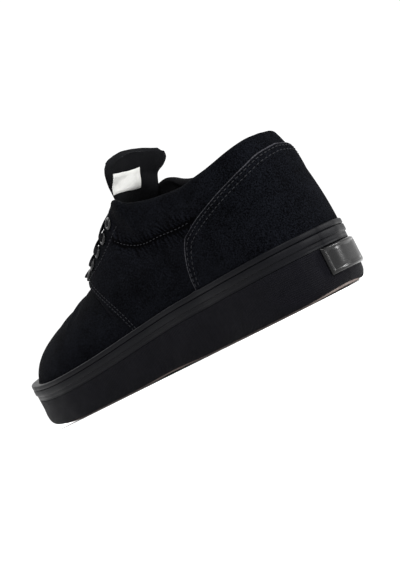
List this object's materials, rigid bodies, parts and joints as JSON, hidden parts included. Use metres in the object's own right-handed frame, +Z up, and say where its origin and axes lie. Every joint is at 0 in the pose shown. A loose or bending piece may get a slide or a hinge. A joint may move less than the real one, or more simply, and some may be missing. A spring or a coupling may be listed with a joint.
{
  "type": "skateboarding shoe",
  "caption": "Left low-top suede skateboarding shoe with padded collar, flat laces, black rubber sidewall and a waffle outsole.",
  "frame": {"origin": "on the floor, under the middle of the shoe's bounding box", "axes": "+X from heel to toe, +Y to the outer side, which is the wearer's left, +Z up"},
  "size_m": [0.3008, 0.1058, 0.14],
  "materials": {
    "outsole_rubber": "matt taupe",
    "sidewall_rubber": "matt, finely textured",
    "foxing_rubber": "satin, smooth",
    "suede": "suede nap",
    "eyelet_metal": "black enamel",
    "tongue_fabric": "woven",
    "label_fabric": "woven, plain",
    "lace_fabric": "flat woven",
    "insole_fabric": "brushed",
    "tab_rubber": "glossy, plain"
  },
  "bodies": {
    "root": {"outsole": "outsole_rubber", "midsole": "sidewall_rubber", "foxing": "foxing_rubber", "upper": "suede", "eyelet_lateral_1": "eyelet_metal", "eyelet_lateral_2": "eyelet_metal", "eyelet_lateral_3": "eyelet_metal", "eyelet_lateral_4": "eyelet_metal", "eyelet_lateral_5": "eyelet_metal", "eyelet_medial_1": "eyelet_metal", "eyelet_medial_2": "eyelet_metal", "eyelet_medial_3": "eyelet_metal", "eyelet_medial_4": "eyelet_metal", "eyelet_medial_5": "eyelet_metal", "heel_counter": "suede", "tongue": "tongue_fabric", "tongue_label": "label_fabric", "laces": "lace_fabric", "insole": "insole_fabric", "heel_tab": "tab_rubber"}
  },
  "joints": []
}
